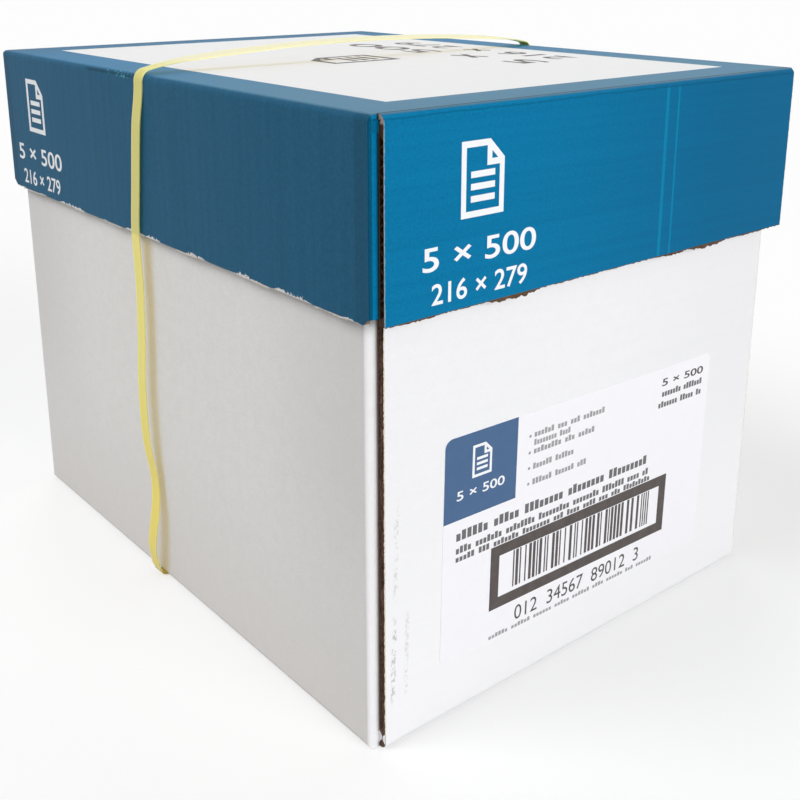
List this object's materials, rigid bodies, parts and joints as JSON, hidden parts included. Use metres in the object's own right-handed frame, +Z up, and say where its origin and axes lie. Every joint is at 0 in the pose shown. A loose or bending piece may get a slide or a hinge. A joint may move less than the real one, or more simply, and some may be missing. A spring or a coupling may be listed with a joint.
{
  "type": "copy paper carton",
  "caption": "Strapped corrugated carton of letter-size copy paper: a white tray under a blue telescoping lid, with a printed label on one end and wrapped packs stacked inside.",
  "frame": {"origin": "middle of the underside of the tray, in the plane it stands on", "axes": "+Z up, +Y away from the labelled short end, +X to the right seen from that end"},
  "size_m": [0.238, 0.3098, 0.2456],
  "materials": {
    "tray_board": "matte white liner, brown flutes",
    "lid_board": "blue printed liner with a white field on top, brown flutes",
    "strap": "satin yellow",
    "label": "semi-matte white, printed",
    "wrapper": "smooth coated wrapper"
  },
  "bodies": {
    "root": {"tray": "tray_board", "lid": "lid_board", "strap": "strap", "label": "label", "ream_1": "wrapper", "ream_2": "wrapper", "ream_3": "wrapper", "ream_4": "wrapper", "ream_5": "wrapper"}
  },
  "joints": []
}
